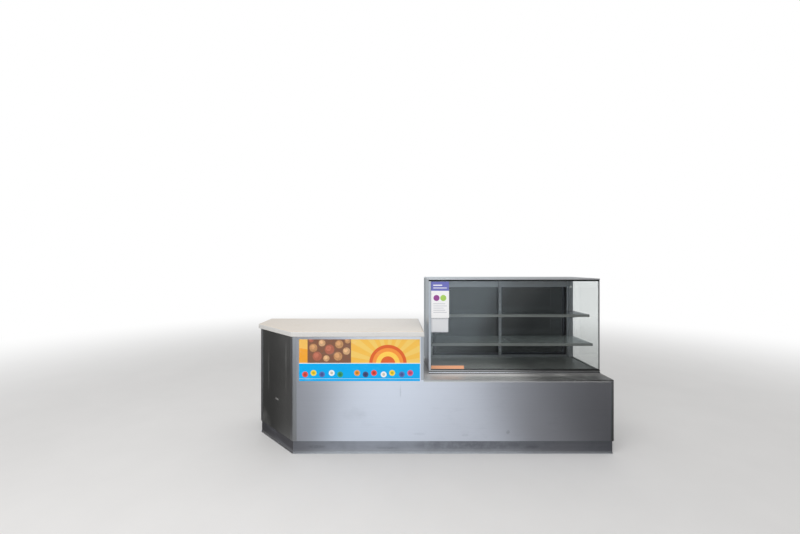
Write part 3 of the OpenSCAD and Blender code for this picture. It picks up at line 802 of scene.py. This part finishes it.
class Print:
    """A printed sheet, drawn by the place on it in parts of a width from its lower left corner."""

    def __init__(self, name, x0, z0, width, ground):
        self.material, self.g, self.shader = new_material(
            name, {"Coat Weight": 0.15, "Coat Roughness": 0.15, "Specular IOR Level": 0.15})
        at = self.g.split(self.g.place())
        self.corner = x0, z0
        self.u = self.g.math("DIVIDE", self.g.math("SUBTRACT", at["X"], x0), width)
        self.v = self.g.math("DIVIDE", self.g.math("SUBTRACT", at["Z"], z0), width)
        self.base = tone(ground)

    def between(self, value, low, high):
        """One from low to high."""
        rise = self.g.ramp(value, low - BOX_EDGE, low + BOX_EDGE)
        fall = self.g.ramp(value, high - BOX_EDGE, high + BOX_EDGE, 1.0, 0.0)
        return self.g.scaled(rise, fall)

    def box(self, u0, v0, u1, v1):
        """One inside a rectangle."""
        return self.g.scaled(self.between(self.u, u0, u1), self.between(self.v, v0, v1))

    def offset(self, u, v):
        """The position from a centre."""
        return self.g.math("SUBTRACT", self.u, u), self.g.math("SUBTRACT", self.v, v)

    def disc(self, u, v, radius):
        """One inside a circle."""
        du, dv = self.offset(u, v)
        square = self.g.math("ADD", self.g.scaled(du, du), self.g.scaled(dv, dv))
        return self.g.ramp(self.g.math("SQRT", square), radius - DISC_EDGE, radius + DISC_EDGE,
                           1.0, 0.0)

    def rays(self, u, v, count):
        """Rays about a centre."""
        du, dv = self.offset(u, v)
        turn = self.g.math("ARCTAN2", dv, du)
        return self.g.ramp(self.g.math("SINE", self.g.scaled(turn, float(count))), -0.1, 0.1)

    def paint(self, mask, rgb, level=1.0):
        """Lays a colour over the print where the mask is one."""
        self.base = self.g.mix(mask, self.base, tone(rgb, level))

    def finish(self, name, x1, z1, radius, face, thick):
        """Adds a plain back, fading and small waves, and makes the sheet up to its far corner."""
        faded = self.g.group("smudges", scale=5.0, cover=0.5)
        self.paint(self.g.ramp(self.g.facing()["Y"], 0.2, 0.6), PAPER)
        self.paint(self.g.scaled(faded, 0.12), PAPER)
        wave = self.g.noise(self.g.place(), 14.0, 2.0, 0.5)
        finish_surface(self.g, self.shader, self.base, self.g.scaled(faded, 0.15, 0.30), wave,
                       0.2, 0.0004, 0.002)
        add_prism(name, [rounded_rectangle(*self.corner, x1, z1, radius)], face - thick, face,
                  "Y", self.material)


# The radius of the poster's corners and the thickness of its film.
POSTER_CORNER = 0.003
POSTER_THICK = 0.0009
# The poster's pattern, in parts of its width. The sun: its place across, and its rings from the
# outside in, with their radius and colour.
SUN_U = 0.735
SUN_RINGS = [
    (0.155, (0.72, 0.13, 0.03)), (0.128, (0.90, 0.30, 0.05)), (0.098, (0.98, 0.62, 0.10)),
    (0.060, (0.72, 0.13, 0.03)),
]
# The crumbs: across, height and radius. Their colours take turns.
CRUMBS = [
    (0.118, 0.275, 0.034), (0.190, 0.315, 0.028), (0.252, 0.262, 0.040), (0.332, 0.305, 0.034),
    (0.392, 0.248, 0.030), (0.150, 0.205, 0.038), (0.322, 0.205, 0.036), (0.226, 0.188, 0.026),
    (0.100, 0.340, 0.020), (0.402, 0.335, 0.024),
]
CRUMB_COLOURS = [(0.52, 0.28, 0.13), (0.62, 0.38, 0.20), (0.42, 0.14, 0.09)]
# The round tiles of the lower band: across and colour.
TILES = [
    (0.05, (0.80, 0.07, 0.05)), (0.12, (0.93, 0.70, 0.05)), (0.19, (0.10, 0.16, 0.45)),
    (0.27, (0.90, 0.90, 0.86)), (0.34, (0.05, 0.35, 0.16)), (0.48, (0.88, 0.34, 0.04)),
    (0.55, (0.06, 0.08, 0.20)), (0.62, (0.80, 0.07, 0.05)), (0.70, (0.90, 0.90, 0.86)),
    (0.77, (0.93, 0.70, 0.05)), (0.85, (0.10, 0.16, 0.45)), (0.92, (0.70, 0.10, 0.22)),
]


class COUNTER_OT_add_poster(bpy.types.Operator):
    """Puts a poster of a plain pattern on the front panel"""

    bl_idname = "counter.add_poster"
    bl_label = "Add Poster"

    def execute(self, context):
        size = context.scene.counter_prints
        x0 = LEFT_X + size.left
        z1 = PANEL_TOP - size.top
        top = size.height / size.width
        band = 0.42 * top
        sheet = Print("Printed poster", x0, z1 - size.height, size.width, (0.88, 0.38, 0.04))
        sheet.paint(sheet.g.ramp(sheet.u, 0.0, 0.6), size.warm)
        sheet.paint(sheet.g.scaled(sheet.rays(SUN_U, band, 18), 0.5), (0.88, 0.66, 0.20))
        for radius, rgb in SUN_RINGS:
            sheet.paint(sheet.disc(SUN_U, band, radius), rgb)
        panel = sheet.box(0.07, band, 0.43, top)
        sheet.paint(panel, size.brown)
        for i, (u, v, radius) in enumerate(CRUMBS):
            rgb = CRUMB_COLOURS[i % len(CRUMB_COLOURS)]
            shift = 0.2 * radius
            sheet.paint(sheet.disc(u, v, radius), rgb)
            sheet.paint(sheet.disc(u - shift, v + shift, 0.55 * radius), rgb, 1.35)
        mottle = sheet.g.ramp(sheet.g.noise(sheet.g.place(), 60.0, 4.0, 0.65), 0.45, 0.7)
        sheet.paint(sheet.g.scaled(mottle, sheet.g.scaled(panel, 0.5)), (0.30, 0.10, 0.05))
        sheet.paint(sheet.box(-0.01, -0.01, 1.01, band), size.cool)
        sheet.paint(sheet.box(-0.01, band, 1.01, band + 0.005), (0.95, 0.95, 0.92))
        for i, (u, rgb) in enumerate(TILES):
            middle = 0.055 + 0.012 * (i % 2)
            sheet.paint(sheet.disc(u, middle, 0.024), rgb)
            sheet.paint(sheet.disc(u, middle, 0.012), rgb, 0.6)
        sheet.paint(sheet.box(0.0, 0.018, 1.0, 0.021), (0.55, 0.80, 0.92))
        sheet.finish("poster", x0 + size.width, z1, POSTER_CORNER, PANEL_Y, POSTER_THICK)
        return {"FINISHED"}


# Sizes of the leaflets and the strip on the glass, and the gaps beside and between them.
UPPER_LEAFLET_HEIGHT = 0.296
LOWER_LEAFLET_HEIGHT = 0.112
STRIP_WIDTH = 0.268
STRIP_HEIGHT = 0.030
LEAFLET_THICK = 0.0006
LEAFLET_CORNER = 0.002
SIDE_GAP = 0.002
END_GAP = 0.004
LEAFLET_GAP = 0.003
LOWER_LEAFLET_NARROWER = 0.006


class COUNTER_OT_add_leaflets(bpy.types.Operator):
    """Puts plain leaflets and a strip on the left of the front glass"""

    bl_idname = "counter.add_leaflets"
    bl_label = "Add Leaflets"

    def execute(self, context):
        width = context.scene.counter_prints.leaflet
        x0 = GLASS_LEFT + SIDE_GAP
        z1 = GLASS_TOP - END_GAP
        z0 = z1 - UPPER_LEAFLET_HEIGHT
        upper = Print("Printed leaflet", x0, z0, width, (0.86, 0.86, 0.87))
        upper.paint(upper.box(-0.1, 1.52, 1.1, 2.1), (0.16, 0.17, 0.48))
        upper.paint(upper.box(0.12, 1.66, 0.88, 1.70), (0.86, 0.86, 0.88))
        upper.paint(upper.box(0.12, 1.80, 0.62, 1.86), (0.86, 0.86, 0.88))
        upper.paint(upper.disc(0.30, 1.12, 0.17), (0.30, 0.07, 0.28))
        upper.paint(upper.disc(0.68, 1.12, 0.17), (0.38, 0.60, 0.12))
        for i in range(5):
            level = 0.30 + 0.12 * i
            upper.paint(upper.box(0.12, level, 0.88 - 0.09 * (i % 3), level + 0.035),
                        (0.55, 0.56, 0.60))
        upper.finish("leaflet_upper", x0 + width, z1, LEAFLET_CORNER, GLASS_Y, LEAFLET_THICK)

        z1 = z0 - LEAFLET_GAP
        lower = Print("Grey leaflet", x0, z1 - LOWER_LEAFLET_HEIGHT, width, (0.62, 0.63, 0.66))
        lower.paint(lower.box(0.08, 0.08, 0.92, 0.68), (0.70, 0.71, 0.73))
        lower.finish("leaflet_lower", x0 + width - LOWER_LEAFLET_NARROWER, z1, LEAFLET_CORNER,
                     GLASS_Y, LEAFLET_THICK)

        z0 = GLASS_BOTTOM + END_GAP
        strip = Print("Orange strip", x0, z0, width, (0.95, 0.46, 0.26))
        strip.paint(strip.box(-0.1, 0.02, 2.0, 0.035), (0.95, 0.60, 0.42))
        strip.finish("glass_strip", x0 + STRIP_WIDTH, z0 + STRIP_HEIGHT, LEAFLET_CORNER, GLASS_Y,
                     LEAFLET_THICK)
        return {"FINISHED"}


def set_at(x, y, offsets, side=1):
    """An outline from offsets to a point. A side of -1 mirrors it across."""
    return [(x + side * across, y + up) for across, up in offsets]


def bead_section(centre, reach):
    """The section of a sealant bead: a corner with a rounded face."""
    return [centre, *arc(centre, (reach, reach), 90, 180, BEAD_STEPS)]


# Sections of the small strips, in metres from the corner that each one is set against.
# The groove is a thin dark strip laid on the base frame's front where a groove's shadow falls:
# painted shadow.
GROOVE_SHADOW = [(0.0, 0.0140), (0.0, 0.0195), (-0.0004, 0.0190), (-0.0004, 0.0145)]
FOOT_LIP = [(0.0, 0.0052), (0.0, 0.0138), *arc((-0.0005, 0.0095), (-0.0014, 0.0042), 90, -90, 6)]
GASKET = [(0.0, 0.0), (0.0, 0.0075), (-0.0010, 0.0070), (-0.0024, 0.0030), (-0.0026, 0.0)]
DECK_HEM = [(0.0, 0.0), (0.0, -0.0075), *arc((-0.0006, -0.0038), (-0.0008, 0.0035), -90, 90, 4)]
BUFFER_LIP = [
    (0.0040, -0.0010), (0.0075, -0.0010), (0.0085, -0.0020), (0.0085, -0.0032),
    (0.0075, -0.0042), (0.0, -0.0042),
]
# The metal of the strip on the glass's corner, and the reach of the bead at the case's foot.
CORNER_THICK = 0.0009
FOOT_BEAD = 0.005
# How far the trim of the deck's edge and the bead under the worktop stop short of their corners.
DECK_TRIM_GAPS = (0.001, 0.024)
WORKTOP_BEAD_GAPS = (0.022, 0.002)
WORKTOP_BEAD_OUT = 0.0022


class COUNTER_OT_add_glazing(bpy.types.Operator):
    """Adds the strip on the corner of the glass and the beads of sealant"""

    bl_idname = "counter.add_glazing"
    bl_label = "Add Glazing Details"

    def execute(self, context):
        fittings = context.scene.counter_fittings
        metal = context.scene.counter_metal
        leg = fittings.corner_leg
        polished = brushed_metal("Polished strip", metal.case, 0.30, PROFILE_GRAIN, soil=0.2)
        corner = [(CORNER_THICK, -CORNER_THICK), (CORNER_THICK, leg), (0.0, leg), (0.0, 0.0),
                  (-leg, 0.0), (-leg, -CORNER_THICK)]
        add_prism("glass_corner_strip", [set_at(GLASS_RIGHT, GLASS_Y, corner)], GLASS_BOTTOM,
                  GLASS_TOP, "Z", polished)

        clear = sealant("Clear sealant", (0.90, 0.90, 0.90), (0.55, 0.53, 0.50), 12.0, 0.4, 0.25)
        inner = lowest("case_right_glass")
        add_prism("glass_sealant", [bead_section((inner.x, inner.y), fittings.bead)],
                  GLASS_BOTTOM, GLASS_TOP, "Z", clear)

        grey = sealant("Grey sealant and groove shadow", (0.20, 0.20, 0.20), (0.10, 0.09, 0.08), 10.0, 0.5, 0.35)
        low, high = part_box("case_base_frame")
        # The grey sealant makes the bead at the case's foot and the thin dark strip for the groove:
        # painted shadow.
        add_prism("base_sealant_and_groove_shadow", [bead_section((low.y, low.z), FOOT_BEAD),
                                   set_at(low.y, low.z, GROOVE_SHADOW)],
                  low.x, high.x, "X", grey)
        # The foot trim is darker towards the right: painted shade.
        bright = brushed_metal("Polished foot trim", (0.93, 0.93, 0.95), 0.22, STRIP_GRAIN,
                               soil=0.2, shade_lanes=[("X", 0.55, 1.00, 0.68)])
        add_prism("foot_trim", [set_at(low.y, low.z, FOOT_LIP)], low.x, high.x, "X", bright)
        add_prism("glass_gasket", [set_at(GLASS_Y, GLASS_BOTTOM, GASKET)], GLASS_LEFT,
                  GLASS_RIGHT - leg, "X", bpy.data.materials["Black seal"])

        # The deck's edge trim is a pale, half-matt strip that stands for the bright line along the
        # deck's edge, and it is darker towards the right: painted highlight and painted shade.
        worn = brushed_metal("Edge trim with painted highlight and shade", metal.trim, 0.40, STRIP_GRAIN, soil=0.3,
                             metallic=0.5, shade_lanes=[("X", 0.55, 1.00, 0.36)])
        add_prism("deck_edge_highlight_trim", [set_at(PANEL_Y, lowest("deck_sheet").z, DECK_HEM)],
                  STEP_X + DECK_TRIM_GAPS[0], highest("deck_sheet").x - DECK_TRIM_GAPS[1], "X",
                  worn)

        corner_x = lowest("front_cladding").x
        corner_y = highest("cut_corner_cladding").y
        out = WORKTOP_BEAD_OUT
        slant = out * math.tan(math.radians(22.5))
        end_x = STEP_X - WORKTOP_BEAD_GAPS[0]
        end_y = REAR_Y - WORKTOP_BEAD_GAPS[1]
        outline = [(LEFT_X, corner_y), (corner_x, PANEL_Y), (end_x, PANEL_Y),
                   (end_x, PANEL_Y - out), (corner_x - slant, PANEL_Y - out),
                   (LEFT_X - out, corner_y - slant), (LEFT_X - out, end_y), (LEFT_X, end_y)]
        add_prism("worktop_sealant", [outline], PANEL_TOP - fittings.bead, PANEL_TOP, "Z", clear,
                  bevel=0.0008)
        return {"FINISHED"}


# Turned profiles, as radius and height: the pegs of the shelves, and the rack cap in parts of its
# radius with its height in metres.
PEG = [(0.0025, -0.001), (0.0025, 0.006), (0.0045, 0.0062), (0.0045, 0.0085), (0.004, 0.009)]
CAP = [(1.0, -0.0002), (1.0, 0.002), (0.92, 0.0045), (0.70, 0.0068), (0.40, 0.0080),
       (0.12, 0.0084)]
# The rack cap's height above the floor, and how far it is set in from the upright's edge.
CAP_HEIGHT = 1.250
CAP_INSET = 0.012
# How far the screws stand from the ends and edges of the posts and the track.
POST_SCREW_INSET = (0.029, 0.05)
TRACK_SCREW_INSET = (0.06, 0.012)
TRACK_SCREWS = 5
# How far the two rows of pegs stand from the rear edge of a shelf, and the radius of a peg's head.
PEG_ROWS = (0.045, 0.240)
PEG_HEAD = 0.0045
# The brush between the doors: how far in from the left door's edge it is, and the gaps at its tip
# and its ends.
BRUSH_INSET = 0.012
BRUSH_TIP_GAP = 0.001
BRUSH_END_GAP = 0.004


class COUNTER_OT_add_fasteners(bpy.types.Operator):
    """Adds the cap on the upright, the buffers of the doors and the screws"""

    bl_idname = "counter.add_fasteners"
    bl_label = "Add Fasteners"

    def execute(self, context):
        fittings = context.scene.counter_fittings
        metal = context.scene.counter_metal
        satin = brushed_metal("Satin fasteners", metal.trim, 0.28, EVEN_GRAIN, soil=0.2)
        pale = brushed_metal("Pale rack cap", (0.95, 0.94, 0.91), 0.40, EVEN_GRAIN, soil=0.2,
                             metallic=0.0)
        cap = [(part * fittings.knob / 2, height) for part, height in CAP]
        low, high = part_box("shelf_uprights")
        add_turned("rack_cap", cap, [((high.x - CAP_INSET, low.y, CAP_HEIGHT), (0, -1, 0))], 32,
                   pale)
        self.close_door_gaps(highest("rear_bottom_track").z, lowest("rear_top_track").z)

        head = button_head(fittings.screw)
        low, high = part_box("rear_posts")
        across, up = POST_SCREW_INSET
        places = [((x, high.y, z), (0, 1, 0))
                  for z in (low.z + up, (low.z + high.z) / 2, high.z - up)
                  for x in (low.x + across, high.x - across)]
        add_turned("post_screws", head, places, 20, satin)

        low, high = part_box("rear_top_track")
        across, down = TRACK_SCREW_INSET
        pitch = (high.x - low.x - 2 * across) / (TRACK_SCREWS - 1)
        places = [((low.x + across + pitch * i, high.y, high.z - down), (0, 1, 0))
                  for i in range(TRACK_SCREWS)]
        add_turned("track_screws", head, places, 20, satin)
        add_turned("shelf_pegs", PEG, self.peg_places(), 16, satin)
        return {"FINISHED"}

    def close_door_gaps(self, low_z, high_z):
        """A buffer on each post for the door that meets it, and a brush between the doors."""
        rubber = bpy.data.materials["Black seal"]
        low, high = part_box("rear_bottom_track")
        buffers = []
        for face, side, door in ((low.x, 1, "door_left_frame"), (high.x, -1, "door_right_frame")):
            front = lowest(door).y
            back = highest(door).y - front
            arm = [(0.0, back + 0.003), (0.0030, back + 0.003), (0.0040, back + 0.0015)]
            buffers.append(set_at(face, front, arm + BUFFER_LIP, side))
        add_prism("door_buffers", buffers, low_z, high_z, "Z", rubber)

        left = highest("door_left_frame")
        tip = lowest("door_right_frame").y - BRUSH_TIP_GAP - left.y
        half = [(0.0040, 0.0), (0.0040, 0.0012), (0.0020, 0.0014), (0.0012, tip)]
        brush = half + [(-across, up) for across, up in reversed(half)]
        add_prism("door_brush", [set_at(left.x - BRUSH_INSET, left.y, brush)],
                  low_z + BRUSH_END_GAP, high_z - BRUSH_END_GAP, "Z", rubber,
                  "door_left")

    def peg_places(self):
        """Where the pegs under the two shelves stand, and which way they point."""
        places = []
        for shelf, walls in (
                ("till_shelves", ((highest, "left_board", 1), (lowest, "till_divider", -1),
                                  (highest, "till_divider", 1), (lowest, "step_board", -1))),
                ("deck_shelves", ((lowest, "deck_divider", -1), (highest, "deck_divider", 1),
                                  (lowest, "right_board", -1), (lowest, "deck_shelves", 1)))):
            under = lowest(shelf).z - PEG_HEAD
            for side, wall, way in walls:
                places += [((side(wall).x, highest(shelf).y - row, under), (way, 0, 0))
                           for row in PEG_ROWS]
        return places


def thrown_back(graph):
    """One for a ray that metal or glass has mirrored, also after it has gone through glass."""
    path = graph.add("ShaderNodeLightPath").outputs
    sharp = graph.math("MAXIMUM", path["Is Glossy Ray"], path["Is Transmission Ray"])
    return graph.math("MINIMUM", sharp, path["Glossy Depth"])


def soft_sides(graph, across, stops):
    """The brightness that metal and glass see from side to side."""
    node = graph.add("ShaderNodeValToRGB", {0: across})
    ramp = node.color_ramp
    ramp.interpolation = "EASE"
    while len(ramp.elements) < len(stops):
        ramp.elements.new(0.5)
    for element, (place, level) in zip(ramp.elements, stops):
        element.position = place
        element.color = (level * (1.0 - 0.19 * level), level * (1.0 - 0.085 * level), level, 1.0)
    return node.outputs[0]


# The soft sides of the stage: degrees from +X towards +Y, and brightness.
SIDES = [
    ((degrees + 180) / 360, level) for degrees, level in (
        (-180, 0.08), (-140, 0.12), (-113, 0.22), (-102.5, 1.04), (-94, 1.16), (-86, 1.06),
        (-75, 1.02), (-69.5, 0.28), (-63, 0.03), (-20, 0.18), (30, 0.35), (60, 0.40),
        (90, 0.95), (120, 0.55), (150, 0.09), (180, 0.08),
    )
]
# The glow of the floor near the counter: from 4 m left to 4 m right as 0 to 1, and brightness.
NEAR_GLOW = [
    (0.0, 0.07), (0.30, 0.08), (0.37, 0.27), (0.42, 0.94), (0.46, 0.96), (0.55, 0.75),
    (0.625, 0.165), (0.69, 0.03), (1.0, 0.03),
]
# The floor: its half size and how far it lies below the counter.
FLOOR_REACH = 60.0
FLOOR_DROP = 0.0005
# Distances from the counter's middle at which the floor turns white, and its glow turns into SIDES.
FADE_TO_WHITE = (3.0, 9.0)
NEAR_TO_FAR = (2.5, 5.0)
# The glow is dimmer close to the panel: where that starts and ends, and how much it takes there.
DIMMER_NEAR_PANEL = (-1.3, -0.5, 0.0, 0.26)
# The soft lamp over the front: its size, its place and the point that it is aimed at.
LAMP_SIZE = (4.0, 2.5)
LAMP_PLACE = (-1.6, -3.4, 3.6)
LAMP_AIM = (0.0, 0.0, 0.6)
# How far the view is shifted, in parts of the picture's width.
VIEW_SHIFT = (5.0 / 800, -1.0 / 800)
WHITE = (1.0, 1.0, 1.0, 1.0)
BLACK = (0.0, 0.0, 0.0, 1.0)


def turned(graph, direction):
    """The turn of a direction about the vertical, from 0 to 1."""
    turn = graph.math("ARCTAN2", direction["Y"], direction["X"])
    return graph.scaled(turn, 0.5 / math.pi, 0.5)


class COUNTER_OT_set_stage(bpy.types.Operator):
    """Sets the pale floor, the soft light and the camera"""

    bl_idname = "counter.set_stage"
    bl_label = "Set Stage"

    def execute(self, context):
        scene = context.scene
        stage = scene.counter_stage
        self.make_floor(scene, stage)
        self.make_world(scene, stage)
        self.make_lamp(scene, stage)
        view = bpy.data.cameras.new("Camera")
        view.lens = stage.lens
        view.sensor_width = 36.0
        view.shift_x, view.shift_y = VIEW_SHIFT
        view.clip_end = 200.0
        camera = bpy.data.objects.new("Camera", view)
        camera.location = (LEFT_X + stage.across, PANEL_Y - stage.distance, stage.eye)
        camera.rotation_euler = (math.radians(90), 0.0, 0.0)
        scene.collection.objects.link(camera)
        scene.camera = camera
        scene.view_settings.view_transform = "Standard"
        return {"FINISHED"}

    def make_floor(self, scene, stage):
        """A wide plane that keeps the shadow near the counter and fades to white far away."""
        body = bmesh.new()
        bmesh.ops.create_grid(body, x_segments=8, y_segments=8, size=FLOOR_REACH)
        mesh = bpy.data.meshes.new("floor")
        body.to_mesh(mesh)
        body.free()
        floor = bpy.data.objects.new("floor", mesh)
        floor.location.z = -FLOOR_DROP
        scene.collection.objects.link(floor)
        material, g, shader = new_material("Pale floor", {"Specular IOR Level": 0.2})
        cloud = g.noise(g.place(), 2.5, 4.0, 0.6)
        g.feed(g.flecked(cloud, stage.floor, 0.03), shader.inputs["Base Color"])
        g.feed(g.scaled(cloud, 0.1, 0.6), shader.inputs["Roughness"])
        place = g.place()
        far = g.add("ShaderNodeVectorMath", {0: place}, operation="LENGTH").outputs["Value"]
        white = g.add("ShaderNodeEmission", {"Color": WHITE}).outputs[0]
        fading = g.either(g.ramp(far, *FADE_TO_WHITE), shader.outputs[0], white)
        spot = g.split(place)
        near = soft_sides(g, g.scaled(spot["X"], 1 / 8, 1 / 2), NEAR_GLOW)
        near = g.mix(g.ramp(spot["Y"], *DIMMER_NEAR_PANEL), near, BLACK)
        seen = g.mix(g.ramp(far, *NEAR_TO_FAR), near, soft_sides(g, turned(g, spot), SIDES))
        glow = g.add("ShaderNodeEmission", {"Color": seen}).outputs[0]
        g.show(g.either(thrown_back(g), fading, glow))
        mesh.materials.append(material)

    def make_world(self, scene, stage):
        """White behind the counter, soft sides for reflections and a plain level for the light."""
        world = bpy.data.worlds.new("World")
        world.use_nodes = True
        world.node_tree.nodes.clear()
        g = Graph(world.node_tree)
        ray = g.split(g.add("ShaderNodeTexCoord").outputs["Generated"])
        seen = soft_sides(g, turned(g, ray), SIDES)
        path = g.add("ShaderNodeLightPath").outputs
        shown = g.math("MAXIMUM", path["Is Camera Ray"], path["Is Transmission Ray"])
        plain = g.mix(shown, (stage.fill, stage.fill, stage.fill, 1.0), WHITE)
        background = g.add("ShaderNodeBackground", {"Color": g.mix(thrown_back(g), plain, seen)})
        output = g.add("ShaderNodeOutputWorld")
        g.feed(background.outputs[0], output.inputs["Surface"])
        scene.world = world

    def make_lamp(self, scene, stage):
        """One large soft lamp over the front."""
        lamp = bpy.data.lights.new("key", "AREA")
        lamp.shape = "RECTANGLE"
        lamp.size, lamp.size_y = LAMP_SIZE
        lamp.energy = stage.key
        key = bpy.data.objects.new("key", lamp)
        key.location = LAMP_PLACE
        aim = Vector(LAMP_AIM) - key.location
        key.rotation_euler = aim.to_track_quat("-Z", "Y").to_euler()
        key.visible_glossy = False
        key.visible_camera = False
        scene.collection.objects.link(key)


STEPS = (
    COUNTER_OT_dress_cladding, COUNTER_OT_dress_deck, COUNTER_OT_dress_boards,
    COUNTER_OT_dress_worktop, COUNTER_OT_dress_glass, COUNTER_OT_add_poster,
    COUNTER_OT_add_leaflets, COUNTER_OT_add_glazing, COUNTER_OT_add_fasteners,
    COUNTER_OT_set_stage,
)
GROUPS = {
    "counter_metal": CounterMetal, "counter_boards": CounterBoards,
    "counter_glass": CounterGlass, "counter_prints": CounterPrints,
    "counter_fittings": CounterFittings, "counter_stage": CounterStage,
}


class COUNTER_PT_sidebar(bpy.types.Panel):
    """Lists the steps that dress the counter and their values"""

    bl_label = "Shop Counter"
    bl_idname = "COUNTER_PT_sidebar"
    bl_space_type = "VIEW_3D"
    bl_region_type = "UI"
    bl_category = "Counter"

    def draw(self, context):
        for step in STEPS:
            self.layout.operator(step.bl_idname)
        for attribute, group in GROUPS.items():
            box = self.layout.box()
            values = getattr(context.scene, attribute)
            for label in group.__annotations__:
                box.prop(values, label)


def register():
    """Registers the classes and gives the scene its properties."""
    for group in GROUPS.values():
        bpy.utils.register_class(group)
    for attribute, group in GROUPS.items():
        setattr(bpy.types.Scene, attribute, PointerProperty(type=group))
    for step in STEPS:
        bpy.utils.register_class(step)
    bpy.utils.register_class(COUNTER_PT_sidebar)


def unregister():
    """Removes what register added."""
    bpy.utils.unregister_class(COUNTER_PT_sidebar)
    for step in reversed(STEPS):
        bpy.utils.unregister_class(step)
    for attribute, group in GROUPS.items():
        delattr(bpy.types.Scene, attribute)
        bpy.utils.unregister_class(group)


def main():
    """Dresses the counter, sets the stage and writes both boxes."""
    register()
    for step in STEPS:
        family, name = step.bl_idname.split(".")
        getattr(getattr(bpy.ops, family), name)()


if __name__ == "__main__":
    main()
